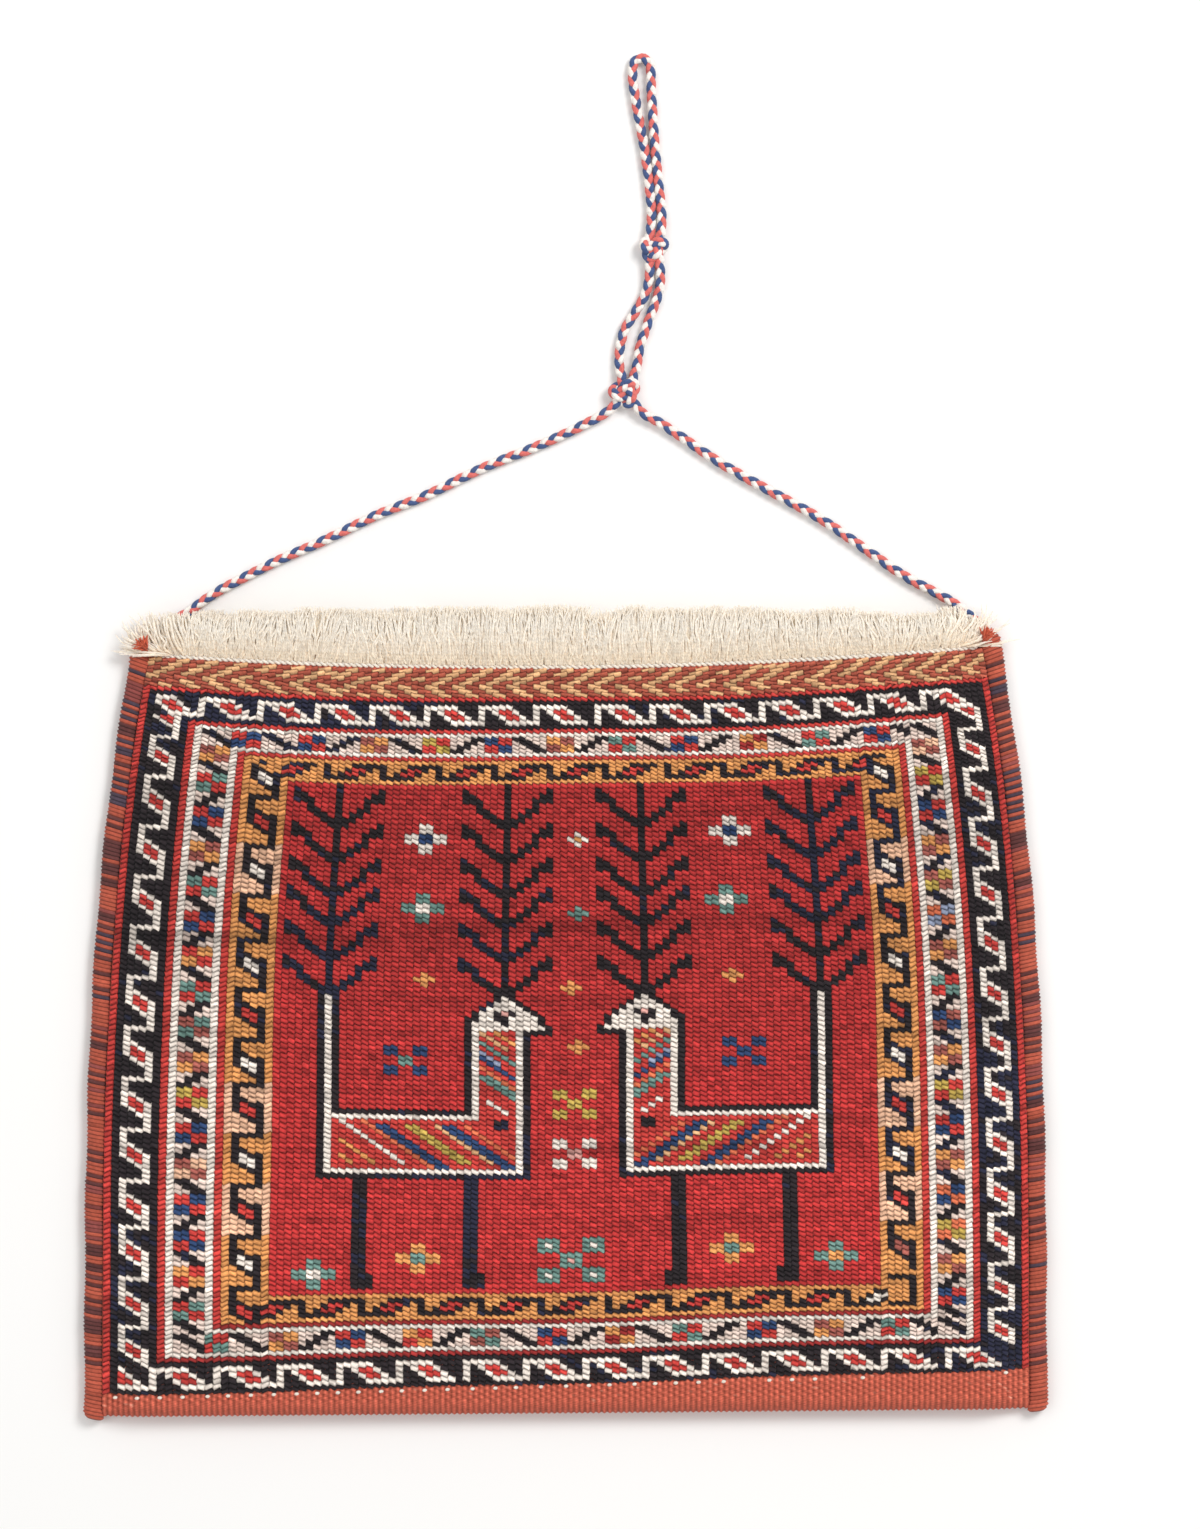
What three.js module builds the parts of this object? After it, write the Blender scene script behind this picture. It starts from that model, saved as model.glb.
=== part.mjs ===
// A small flat-woven wool bag that lies on its back, with its carrying cord laid out beyond the mouth.
// One strip of cloth is folded at the bottom into a pocket, and yarn wrapped over its two sides closes it.
// Millimetres. +Z leads out of the patterned front, +Y towards the mouth, and the floor is z = 0.
import * as THREE from 'three';

// Bag outline
const HALF_WIDTH = 173.5; // at the bottom fold, bindings included
const MOUTH_NARROWING = 17; // each side comes in by this much, mostly near the mouth
const BOTTOM_Y = -144.6;
const BOTTOM_TILT = 1.5; // the fold lies this much lower at the left end and higher at the right
const MOUTH_Y = 124; // at the middle of the mouth, which sags between the corners
const MOUTH_SAG = 6.4;
const MOUTH_TILT = 1.5;

// Cloth
const BACK_THICK = 2.2;
const FRONT_THICK = 3.2;
const POCKET_GAP = 5.5;
const EDGE_GAP = 0.5; // what is left of the pocket where the two layers meet at the sides
const EDGE_EASE = 16; // the front falls to its edge over this width
const FULL_THICK = BACK_THICK + POCKET_GAP + FRONT_THICK;
const EDGE_THICK = BACK_THICK + EDGE_GAP + FRONT_THICK;

// Trim
const BINDING_WIDTH = 6;
const BINDING_HEIGHT = 6.2;
const TWINING_WIDTH = 1.8;
const FRINGE_TOP = 146;
const FRINGE_FALL = 4; // the ends of the fringe are this much shorter
const FRONT_FRINGE_HALF = 141;
const BACK_FRINGE_HALF = 128;
const CLEAR = 0.3; // gap between neighbouring solids

// Braided cord
const CORD_WIDTH = 3.2;
const CORD_SIDES = 8;

// Half of the bag's width at a height given from 0 at the fold to 1 at the mouth.
const halfWidth = (v) => HALF_WIDTH - MOUTH_NARROWING * v ** 3;
const bottomY = (x) => BOTTOM_Y + BOTTOM_TILT * (x / HALF_WIDTH);
const mouthY = (x) => {
  const across = x / halfWidth(1);
  return MOUTH_Y + MOUTH_SAG * across ** 2 + MOUTH_TILT * across;
};
const clothHalf = (v) => halfWidth(v) - BINDING_WIDTH - CLEAR;

// Height of the bag's front at a distance in from the cloth's side edge.
const thickness = (inset) =>
  THREE.MathUtils.lerp(EDGE_THICK, FULL_THICK, THREE.MathUtils.smoothstep(inset, 0, EDGE_EASE));

const wool = (color, roughness) => new THREE.MeshStandardMaterial({ color, roughness, metalness: 0 });
const clothWool = wool(0x9c2a2c, 0.92);
const bindingWool = wool(0x7c3a30, 0.9);
const fringeWool = wool(0xe6d9c2, 0.95);
const cordWool = wool(0xb9a6ab, 0.85);
const rustWool = wool(0xb8512f, 0.92);

const bag = new THREE.Group();
bag.name = 'woven_bag';

function add(name, geometry, material) {
  const mesh = new THREE.Mesh(geometry, material);
  mesh.name = name;
  bag.add(mesh);
  return mesh;
}

// Bends a box of unit size: place(a, b, c) takes each corner's -0.5 to 0.5 coordinates to its point.
function bentBox(columns, rows, place) {
  const geometry = new THREE.BoxGeometry(1, 1, 1, columns, rows, 1);
  const position = geometry.attributes.position;
  for (let i = 0; i < position.count; i += 1) {
    const point = place(position.getX(i), position.getY(i), position.getZ(i));
    position.setXYZ(i, point.x, point.y, point.z);
  }
  geometry.computeVertexNormals();
  return geometry;
}

// A closed tube with an oval section along a curve through the points.
function tube(points, height, width, sides, steps) {
  const section = new THREE.Shape();
  for (let i = 0; i < sides; i += 1) {
    const turn = ((i + 0.5) / sides) * Math.PI * 2;
    section[i ? 'lineTo' : 'moveTo'](Math.cos(turn) * height / 2, Math.sin(turn) * width / 2);
  }
  section.closePath();
  const path = new THREE.CatmullRomCurve3(points.map((p) => new THREE.Vector3(...p)), false, 'centripetal');
  return new THREE.ExtrudeGeometry(section, { steps, extrudePath: path, bevelEnabled: false });
}

// Woven cloth: up the back from fold to mouth, round the fold and up the front, as one strip.
// Along the strip, the first part is the back, the middle the fold and the last part the front.
const FLAT_ROWS = 8;
const FOLD_ROWS = 6;
const STRIP_ROWS = 2 * FLAT_ROWS + FOLD_ROWS;

function clothPoint(a, b, c) {
  const across = Math.sin(Math.PI * a); // closer steps near the sides
  const row = (b + 0.5) * STRIP_ROWS;
  const onFront = row > STRIP_ROWS / 2;
  const up = Math.max(0, Math.abs(row - STRIP_ROWS / 2) - FOLD_ROWS / 2) / FLAT_ROWS;
  const half = clothHalf(up);
  const x = across * half;
  const radius = thickness(half * (1 - Math.abs(across))) / 2;
  const turn = THREE.MathUtils.clamp((row - STRIP_ROWS / 2) / FOLD_ROWS, -0.5, 0.5) * Math.PI;
  const sheet = THREE.MathUtils.lerp(BACK_THICK, FRONT_THICK, turn / Math.PI + 0.5);
  const reach = radius - (0.5 - c) * sheet;
  const foldY = bottomY(x) + radius;
  const flatY = THREE.MathUtils.lerp(foldY, mouthY(x), up);
  const height = onFront || Math.abs(turn) < Math.PI / 2 ? Math.sin(turn) : -1;
  return new THREE.Vector3(x, flatY - reach * Math.cos(turn), radius + reach * height);
}
add('woven_cloth', bentBox(24, STRIP_ROWS, clothPoint), clothWool);

// Side bindings: yarn wrapped over both layers, from the bottom fold to the mouth.
const BINDING_STEPS = 16;
for (const [name, side] of [['left_side_binding', -1], ['right_side_binding', 1]]) {
  const points = [];
  for (let i = 0; i <= BINDING_STEPS; i += 1) {
    const v = i / BINDING_STEPS;
    const x = side * (halfWidth(v) - BINDING_WIDTH / 2);
    points.push([x, THREE.MathUtils.lerp(bottomY(x), mouthY(x), v), BINDING_HEIGHT / 2]);
  }
  add(name, tube(points, BINDING_HEIGHT, BINDING_WIDTH, 12, BINDING_STEPS), bindingWool);
}

// Twined lines: a pair of white yarns turned round each other along both edges of the mouth.
const TWINING_STEPS = 24;
function twining(height) {
  const half = clothHalf(1) - TWINING_WIDTH;
  const points = [];
  for (let i = 0; i <= TWINING_STEPS; i += 1) {
    const x = half * Math.sin(Math.PI * (i / TWINING_STEPS - 0.5));
    points.push([x, mouthY(x) + CLEAR + TWINING_WIDTH / 2, height(clothHalf(1) - Math.abs(x))]);
  }
  return tube(points, TWINING_WIDTH, TWINING_WIDTH, 8, TWINING_STEPS);
}
add('front_twining', twining((inset) => thickness(inset) - FRONT_THICK / 2), fringeWool);
add('back_twining', twining(() => BACK_THICK / 2), fringeWool);

// Fringes: the cut and brushed ends of the warp beyond each twined line.
const FRINGE_FOOT = 2 * CLEAR + TWINING_WIDTH;
const fringeEnd = (x) => FRINGE_TOP - FRINGE_FALL * (x / halfWidth(1)) ** 4;

function fringe(half, low, high) {
  return bentBox(16, 2, (a, b, c) => {
    const x = 2 * a * half;
    const inset = clothHalf(1) - Math.abs(x);
    const y = THREE.MathUtils.lerp(mouthY(x) + FRINGE_FOOT, fringeEnd(x), b + 0.5);
    return new THREE.Vector3(x, y, c < 0 ? low(inset) : high(inset, b + 0.5));
  });
}
const FRINGE_RISE = 1.5; // the brushed ends stand this much proud of the cloth
add(
  'front_fringe',
  fringe(
    FRONT_FRINGE_HALF,
    (inset) => thickness(inset) - FRONT_THICK,
    (inset, along) => thickness(inset) + FRINGE_RISE * Math.min(1, 2 * along),
  ),
  fringeWool,
);
add('back_fringe', fringe(BACK_FRINGE_HALF, () => CLEAR, () => BACK_THICK), fringeWool);

// Carrying cord: one braided length, doubled and knotted twice. Its ends are sewn to the mouth's corners.
const FLOOR_Z = 1.8; // height of the cord's centre where it lies on the floor
const LEFT_LEG = [
  [-146.6, 139.0, 3.2], [-141.6, 141.2, 3.1], [-136.3, 144.2, 2.7], [-129.5, 149.2, 2.1],
  [-122.2, 153.6, FLOOR_Z], [-104.2, 162.7, FLOOR_Z], [-86.2, 170.6, FLOOR_Z], [-68.2, 179.3, FLOOR_Z],
  [-50.2, 186.5, FLOOR_Z], [-30.1, 196.2, FLOOR_Z], [-12.1, 203.4, FLOOR_Z], [4.6, 210.9, 2.2],
  [16.2, 217.4, 3.0],
];
const RIGHT_LEG = [
  [148.6, 140.6, 3.2], [143.4, 144.9, 3.0], [137.0, 149.4, 2.3], [122.2, 157.4, FLOOR_Z],
  [107.1, 167.8, FLOOR_Z], [91.6, 178.2, FLOOR_Z], [74.0, 187.9, FLOOR_Z], [56.7, 197.6, FLOOR_Z],
  [40.5, 208.4, FLOOR_Z], [33.5, 212.9, 2.2], [26.9, 216.8, 3.0],
];
const LEFT_STRAND = [
  [20.4, 228.0, 2.8], [19.5, 232.4, 2.2], [19.4, 237.0, FLOOR_Z], [20.0, 241.8, FLOOR_Z],
  [21.6, 246.8, FLOOR_Z], [24.9, 252.2, FLOOR_Z], [28.4, 258.2, FLOOR_Z], [30.0, 263.6, 2.2],
  [30.4, 268.6, 2.8],
];
const RIGHT_STRAND = [
  [24.2, 228.0, 2.8], [25.6, 232.6, 2.2], [26.4, 238.0, FLOOR_Z], [28.0, 243.8, FLOOR_Z],
  [29.8, 249.0, FLOOR_Z], [31.8, 254.4, FLOOR_Z], [33.6, 259.6, FLOOR_Z], [34.2, 264.0, 2.2],
  [34.1, 268.6, 2.8],
];
const LOOP = [
  [31.0, 280.0, 2.8], [31.3, 285.4, 2.1], [30.9, 291.4, FLOOR_Z], [30.3, 297.6, FLOOR_Z],
  [29.4, 305.2, FLOOR_Z], [28.1, 313.9, FLOOR_Z], [26.6, 321.8, FLOOR_Z], [25.2, 329.8, FLOOR_Z],
  [24.3, 336.4, FLOOR_Z], [24.7, 341.6, FLOOR_Z], [27.3, 344.6, FLOOR_Z], [29.9, 341.8, FLOOR_Z],
  [31.0, 336.6, FLOOR_Z], [31.5, 329.8, FLOOR_Z], [32.0, 321.8, FLOOR_Z], [32.5, 313.9, FLOOR_Z],
  [33.4, 305.6, FLOOR_Z], [34.3, 297.4, FLOOR_Z], [35.1, 291.0, FLOOR_Z], [35.2, 285.4, 2.1],
  [34.8, 280.0, 2.8],
];
for (const [name, points, steps] of [
  ['cord_left_leg', LEFT_LEG, 20],
  ['cord_right_leg', RIGHT_LEG, 17],
  ['cord_left_strand', LEFT_STRAND, 8],
  ['cord_right_strand', RIGHT_STRAND, 8],
  ['cord_loop', LOOP, 26],
]) {
  add(name, tube(points, CORD_WIDTH, CORD_WIDTH, CORD_SIDES, steps), cordWool);
}

// A rounded lump with its widths along the three axes, for a knot, a lashing or a tuft.
function lump([width, depth, height], [x, y, z], columns, rows) {
  const geometry = new THREE.SphereGeometry(0.5, columns, rows);
  geometry.rotateX(Math.PI / 2);
  geometry.scale(width, depth, height);
  geometry.translate(x, y, z);
  return geometry;
}

// Overhand knots: one gathers both legs, the other closes the hanging loop.
add('lower_knot', lump([10.6, 9.6, 6.4], [21.6, 222.4, 3.4], 16, 10), cordWool);
add('upper_knot', lump([9.6, 10.4, 6.4], [32.4, 274.3, 3.4], 16, 10), cordWool);

// Lashings: yarn wound round each end of the cord where it is sewn to the corner of the mouth.
add('left_cord_lashing', lump([6.4, 7.4, 4.8], [-149.4, 135.2, 2.9], 12, 8), rustWool);
add('right_cord_lashing', lump([6.4, 7.4, 4.8], [150.4, 136.6, 2.9], 12, 8), rustWool);

// Corner tufts: the loose ends of the binding's own yarn, left standing above the lashings.
add('left_corner_tuft', lump([7, 6, 3.4], [-149.8, 133.6, 7.4], 10, 6), rustWool);
add('right_corner_tuft', lump([7, 8, 3.4], [150.6, 136.2, 7.4], 10, 6), rustWool);

export default bag;
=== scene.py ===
"""A hand-woven wool saddle bag with a sumak face, a brushed fringe at its mouth and a braided hanging cord.

The bag lies on its back on a pale table: +X runs across it, +Y to its mouth and cord, +Z up from the table.
Sizes are millimetres until a piece is made, when they become metres.
"""

import math

import bpy
import numpy as np
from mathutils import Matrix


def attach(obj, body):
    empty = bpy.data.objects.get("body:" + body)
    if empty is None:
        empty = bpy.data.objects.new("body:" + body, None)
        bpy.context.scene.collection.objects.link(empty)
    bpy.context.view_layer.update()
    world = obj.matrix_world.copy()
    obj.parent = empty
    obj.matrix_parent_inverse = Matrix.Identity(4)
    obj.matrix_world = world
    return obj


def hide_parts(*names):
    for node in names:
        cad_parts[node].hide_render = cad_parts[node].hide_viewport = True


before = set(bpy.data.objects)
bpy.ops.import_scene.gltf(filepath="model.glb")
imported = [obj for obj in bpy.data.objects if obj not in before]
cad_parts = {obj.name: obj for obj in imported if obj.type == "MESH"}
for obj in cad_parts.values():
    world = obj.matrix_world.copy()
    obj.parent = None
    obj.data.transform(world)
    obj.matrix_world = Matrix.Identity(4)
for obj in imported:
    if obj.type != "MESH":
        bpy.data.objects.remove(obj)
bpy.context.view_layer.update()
bpy.ops.object.select_all(action="DESELECT")

MM = 0.001


# ------------------------------------------------------------------------------
# Camera, table and light: the bag is seen from straight above on a white table, under a large soft light
# from the upper right and pale light from all round, so that only a faint shadow lies to the lower left.
# ------------------------------------------------------------------------------

VIEW_CENTRE = (12.4, 89.1)
VIEW_HEIGHT = 550.4
LENS = 100.0
SENSOR = 36.0
FACE_LEVEL = 8.0
ROOM_LIGHT = 0.62
TABLE_SIZE = 12000.0
TABLE_GAP = 0.4
TABLE_WHITE = "#f6f5f3"


def linear(hex_colour):
    """An sRGB hex colour as linear red, green, blue and alpha."""
    parts = [int(hex_colour[i : i + 2], 16) / 255 for i in (1, 3, 5)]
    return [p / 12.92 if p <= 0.04045 else ((p + 0.055) / 1.055) ** 2.4 for p in parts] + [1.0]


camera = bpy.data.objects.new("camera", bpy.data.cameras.new("camera"))
camera.data.lens = LENS
camera.data.sensor_width = SENSOR
camera.data.clip_start = 0.01
camera.data.clip_end = 20
camera.location = (
    VIEW_CENTRE[0] * MM,
    VIEW_CENTRE[1] * MM,
    (VIEW_HEIGHT * LENS / SENSOR + FACE_LEVEL) * MM,
)
bpy.context.scene.collection.objects.link(camera)
bpy.context.scene.camera = camera
bpy.context.scene.view_settings.view_transform = "Standard"

world = bpy.data.worlds.new("pale_room")
world.use_nodes = True
sky = world.node_tree.nodes["Background"].inputs
sky["Color"].default_value = (1.0, 1.0, 1.0, 1.0)
sky["Strength"].default_value = ROOM_LIGHT
bpy.context.scene.world = world

# The lights' places and sizes are metres.
for name, place, size, watts in (
    ("key_light", (0.9, 0.9, 1.5), 0.7, 21.0),
    ("fill_light", (-1.0, 0.3, 1.6), 1.2, 6.0),
):
    light = bpy.data.objects.new(name, bpy.data.lights.new(name, "AREA"))
    light.data.size = size
    light.data.energy = watts
    light.location = place
    aim = -light.location.normalized()
    light.rotation_euler = aim.to_track_quat("-Z", "Y").to_euler()
    bpy.context.scene.collection.objects.link(light)

bpy.ops.mesh.primitive_plane_add(size=TABLE_SIZE * MM, location=(0, 0, -TABLE_GAP * MM))
table_top = bpy.context.object
table_top.name = "table_top"

# Matt white paper: no gloss, so the table shows only the bag's soft shadow.
white_paper = bpy.data.materials.new("white_paper_matt")
white_paper.use_nodes = True
paper = white_paper.node_tree.nodes["Principled BSDF"].inputs
paper["Base Color"].default_value = linear(TABLE_WHITE)
paper["Roughness"].default_value = 0.9
table_top.data.materials.append(white_paper)


# ------------------------------------------------------------------------------
# Hanging cord: one length of three-strand plait in white, coral red and dark blue wool, 3.6 mm across. Its
# two ends are lashed to the mouth corners, and its doubled middle is knotted twice to leave a long loop.
# ------------------------------------------------------------------------------

STRAND_WIDTH = 2.06
PLAIT_REACH = 0.82
PLAIT_DEPTH = 0.6
PLAIT_PITCH = 10.2
CORD_STEP = 0.75
KNOT_RISE = 3.4
CORD_COLOURS = ("#f2ebe4", "#d96f69", "#475a86")

# The cord's way over the table, as (x, y, height of its middle).
left_leg = [
    (-146.6, 139.0, 3.2), (-141.6, 141.2, 3.1), (-136.3, 144.2, 2.7), (-129.5, 149.2, 2.1),
    (-122.2, 153.6, 1.8), (-104.2, 162.7, 1.8), (-86.2, 170.6, 1.8), (-68.2, 179.3, 1.8),
    (-50.2, 186.5, 1.8), (-30.1, 196.2, 1.8), (-12.1, 203.4, 1.8), (4.6, 210.9, 2.2),
    (16.2, 217.4, 3.0),
]
right_leg = [
    (148.6, 140.6, 3.2), (143.4, 144.9, 3.0), (137.0, 149.4, 2.3), (122.2, 157.4, 1.8),
    (107.1, 167.8, 1.8), (91.6, 178.2, 1.8), (74.0, 187.9, 1.8), (56.7, 197.6, 1.8),
    (40.5, 208.4, 1.8), (33.5, 212.9, 2.2), (26.9, 216.8, 3.0),
]
left_strand = [
    (20.4, 228.0, 2.8), (19.5, 232.4, 2.2), (19.4, 237.0, 1.8), (20.0, 241.8, 1.8),
    (21.6, 246.8, 1.8), (24.9, 252.2, 1.8), (28.4, 258.2, 1.8), (30.0, 263.6, 2.2),
    (30.4, 268.6, 2.8),
]
right_strand = [
    (24.2, 228.0, 2.8), (25.6, 232.6, 2.2), (26.4, 238.0, 1.8), (28.0, 243.8, 1.8),
    (29.8, 249.0, 1.8), (31.8, 254.4, 1.8), (33.6, 259.6, 1.8), (34.2, 264.0, 2.2),
    (34.1, 268.6, 2.8),
]
loop = [
    (30.6, 281.6, 2.8), (31.0, 286.4, 2.1), (30.9, 291.4, 1.8), (30.3, 297.6, 1.8),
    (29.4, 305.2, 1.8), (28.1, 313.9, 1.8), (26.6, 321.8, 1.8), (25.2, 329.8, 1.8),
    (24.3, 336.4, 1.8), (24.2, 341.0, 1.8), (25.2, 343.4, 1.8), (27.4, 344.4, 1.8),
    (29.6, 343.4, 1.8), (30.7, 341.0, 1.8), (30.8, 336.6, 1.8), (31.1, 329.8, 1.8),
    (31.6, 321.8, 1.8), (32.1, 313.9, 1.8), (32.9, 305.6, 1.8), (33.7, 297.4, 1.8),
    (34.5, 291.0, 1.8), (34.7, 286.4, 2.1), (34.4, 281.6, 2.8),
]
lower_knot_centre = np.array((21.5, 223.4, KNOT_RISE))
upper_knot_centre = np.array((31.6, 275.6, KNOT_RISE))


def distances(route):
    """How far along a route each of its points lies."""
    return np.concatenate([[0], np.cumsum(np.linalg.norm(np.diff(route, axis=0), axis=1))])


def smooth_route(points, step):
    """Points about step apart on a smooth curve through the given ones."""
    p = np.array(points, float)
    ends = np.vstack([2 * p[0] - p[1], p, 2 * p[-1] - p[-2]])
    dense = []
    for a, b, c, d in zip(ends[:-3], ends[1:-2], ends[2:-1], ends[3:]):
        for t in np.linspace(0, 1, 12, endpoint=False):
            curve = 2 * b + (c - a) * t + (2 * a - 5 * b + 4 * c - d) * t * t
            dense.append(0.5 * (curve + (3 * b - a - 3 * c + d) * t**3))
    dense = np.array(dense + [p[-1]])
    along = distances(dense)
    at = np.linspace(0, along[-1], max(4, int(along[-1] / step) + 1))
    return np.stack([np.interp(at, along, dense[:, k]) for k in range(3)], axis=1)


def side_and_up(route, closed=False, upright=(0.0, 0.0, 1.0)):
    """The sideways and upward directions at each point of a route that nowhere runs along upright."""
    if closed:
        ahead = np.roll(route, -1, axis=0) - np.roll(route, 1, axis=0)
    else:
        ahead = np.gradient(route, axis=0)
    ahead /= np.linalg.norm(ahead, axis=1)[:, None]
    side = np.cross(upright, ahead)
    side /= np.linalg.norm(side, axis=1)[:, None]
    return side, np.cross(ahead, side)


def empty_yarns():
    """Lists that a piece of many yarns is gathered in: points, faces, texture places and colours."""
    return {"points": [], "faces": [], "places": [], "colours": [], "count": 0}


def add_yarn(yarns, route, radius, sides, colour, closed=False, flatten=1.0, upright=(0.0, 0.0, 1.0)):
    """Adds one round yarn along a route. Its radius and colour are single, or one for each ring of it."""
    route = np.asarray(route, float)
    rings = len(route)
    side, up = side_and_up(route, closed, upright)
    radius = np.broadcast_to(np.asarray(radius, float), (rings,))
    turn = np.arange(sides) / sides * 2 * math.pi
    ring = side[:, None] * np.cos(turn)[None, :, None] + up[:, None] * np.sin(turn)[None, :, None] * flatten
    points = route[:, None] + ring * radius[:, None, None]
    along = distances(route)
    first = yarns["count"]
    yarns["points"].append(points.reshape(-1, 3))
    spans = rings if closed else rings - 1
    colour = np.broadcast_to(np.asarray(colour, float), (rings, 4))
    for i in range(spans):
        j = (i + 1) % rings
        far = along[i] + np.linalg.norm(route[j] - route[i])
        for k in range(sides):
            n = (k + 1) % sides
            near_ring, far_ring = first + i * sides, first + j * sides
            yarns["faces"].append((near_ring + k, near_ring + n, far_ring + n, far_ring + k))
            around, next_around = k / sides, (k + 1) / sides
            yarns["places"] += [
                (around, along[i]), (next_around, along[i]), (next_around, far), (around, far),
            ]
            yarns["colours"] += [colour[i]] * 4
    yarns["count"] += rings * sides
    if not closed:
        for end, order in ((0, -1), (rings - 1, 1)):
            yarns["faces"].append(tuple(first + end * sides + k for k in range(sides))[::order])
            yarns["places"] += [(0.5, along[end])] * sides
            yarns["colours"] += [colour[end]] * sides


def make_piece(name, points, faces, places, colours, material, replaced=(), layout=None):
    """A mesh from millimetre points, with texture places and a yarn colour at each corner, set on the bag.
    The colours of the ground cloth, the sumak and the side bindings also hold painted shade, and the first
    two painted highlights.

    A layout is a second map, in which no two faces overlap, for pieces of many stitches."""
    mesh = bpy.data.meshes.new(name)
    mesh.from_pydata((np.asarray(points) * MM).tolist(), [], faces)
    texture = mesh.uv_layers.new(name="yarn")
    texture.data.foreach_set("uv", np.asarray(places, np.float32).ravel())
    if layout is not None:
        flat = mesh.uv_layers.new(name="OFBake")
        flat.data.foreach_set("uv", np.asarray(layout, np.float32).ravel())
    # The dye attribute holds each corner's yarn colour, with painted shade and highlight where the piece has
    # them.
    dye = mesh.color_attributes.new("dye", "FLOAT_COLOR", "CORNER")
    dye.data.foreach_set("color", np.asarray(colours, np.float32).ravel())
    mesh.materials.append(material)
    mesh.polygons.foreach_set("use_smooth", np.ones(len(mesh.polygons), bool))
    mesh.update()
    piece = bpy.data.objects.new(name, mesh)
    bpy.context.scene.collection.objects.link(piece)
    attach(piece, "root")
    if replaced:
        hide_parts(*replaced)
    return piece


def yarn_piece(name, yarns, material, replaced=()):
    """The piece made of all the yarns gathered."""
    points = np.vstack(yarns["points"])
    return make_piece(
        name, points, yarns["faces"], yarns["places"], yarns["colours"], material, replaced
    )


def plait(yarns, route, colours, sides=8, pitch=PLAIT_PITCH, closed=False):
    """Adds a plait along a route. Each strand swings across it once a pitch, a third behind the last one."""
    side, up = side_and_up(route, closed)
    along = distances(route)
    for strand, colour in enumerate(colours):
        swing = along / pitch * 2 * math.pi + strand * 2 * math.pi / 3
        middle = route + side * (PLAIT_REACH * np.sin(swing))[:, None]
        middle += up * (PLAIT_DEPTH * np.sin(2 * swing))[:, None]
        add_yarn(yarns, middle, STRAND_WIDTH / 2, sides, linear(colour), closed)


def node(tree, kind, settings=None, links=None, **attributes):
    """Adds a shader node with its attributes, the values of its sockets, and the links into it."""
    made = tree.nodes.new(kind)
    for name, value in attributes.items():
        setattr(made, name, value)
    for socket, value in (settings or {}).items():
        made.inputs[socket].default_value = value
    for socket, source in (links or {}).items():
        tree.links.new(source, made.inputs[socket])
    return made


def wool_yarn(name, roughness, sheen, ply_spacing, ply_depth, fibre_depth):
    """Spun wool: matt, with a soft sheen at its edges, plies that twist round it, and loose fibres.

    The plies are ply_spacing millimetres apart along the yarn, and the dye is about 1 mm patchy."""
    material = bpy.data.materials.new(name)
    material.use_nodes = True
    tree = material.node_tree
    shader = tree.nodes["Principled BSDF"]
    shader.inputs["Roughness"].default_value = roughness
    shader.inputs["Sheen Weight"].default_value = sheen
    shader.inputs["Sheen Roughness"].default_value = 0.6
    shader.inputs["Specular IOR Level"].default_value = 0.1
    # The dye attribute is the yarn colour with any painted shade and highlight.
    dye = node(tree, "ShaderNodeVertexColor", layer_name="dye")
    place = node(tree, "ShaderNodeTexCoord")
    uneven = node(
        tree, "ShaderNodeTexNoise", {"Scale": 900.0, "Detail": 3.0}, {"Vector": place.outputs["Object"]}
    )
    tone = node(
        tree,
        "ShaderNodeMapRange",
        {"From Min": 0.3, "From Max": 0.7, "To Min": 0.84, "To Max": 1.14},
        {"Value": uneven.outputs["Fac"]},
    )
    worn = node(
        tree,
        "ShaderNodeVectorMath",
        links={0: dye.outputs["Color"], "Scale": tone.outputs["Result"]},
        operation="SCALE",
    )
    tree.links.new(worn.outputs["Vector"], shader.inputs["Base Color"])
    twist_place = node(tree, "ShaderNodeUVMap", uv_map="yarn")
    slope = node(
        tree,
        "ShaderNodeMapping",
        {"Scale": (2.0, 1.0 / ply_spacing, 1.0)},
        {"Vector": twist_place.outputs["UV"]},
    )
    plies = node(
        tree,
        "ShaderNodeTexWave",
        {"Scale": 0.314, "Distortion": 0.6, "Detail": 1.0},
        {"Vector": slope.outputs["Vector"]},
        bands_direction="DIAGONAL",
    )
    fibres = node(
        tree, "ShaderNodeTexNoise", {"Scale": 2600.0, "Detail": 2.0}, {"Vector": place.outputs["Object"]}
    )
    ply_bump = node(
        tree,
        "ShaderNodeBump",
        {"Strength": 0.8, "Distance": ply_depth * MM},
        {"Height": plies.outputs["Fac"]},
    )
    fibre_bump = node(
        tree,
        "ShaderNodeBump",
        {"Strength": 0.8, "Distance": fibre_depth * MM},
        {"Height": fibres.outputs["Fac"], "Normal": ply_bump.outputs["Normal"]},
    )
    tree.links.new(fibre_bump.outputs["Normal"], shader.inputs["Normal"])
    return material


# Plaited cord wool: hard-twisted bright yarn, so a little smoother than the rest, its plies 1 mm apart.
cord_wool = wool_yarn("plaited_wool_cord", 0.82, 0.12, 1.0, 0.25, 0.12)

cord_route = smooth_route(
    left_leg
    + [tuple(lower_knot_centre - (2.0, 0.4, 0.4))]
    + left_strand
    + [tuple(upper_knot_centre - (1.8, 0.0, 0.4))]
    + loop
    + [tuple(upper_knot_centre + (1.8, 0.0, -0.4))]
    + right_strand[::-1]
    + [tuple(lower_knot_centre + (2.0, -0.4, -0.4))]
    + right_leg[::-1],
    CORD_STEP,
)
cord_yarns = empty_yarns()
plait(cord_yarns, cord_route, CORD_COLOURS)
hanging_cord = yarn_piece(
    "hanging_cord",
    cord_yarns,
    cord_wool,
    ["cord_left_leg", "cord_left_strand", "cord_loop", "cord_right_strand", "cord_right_leg"],
)

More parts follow.
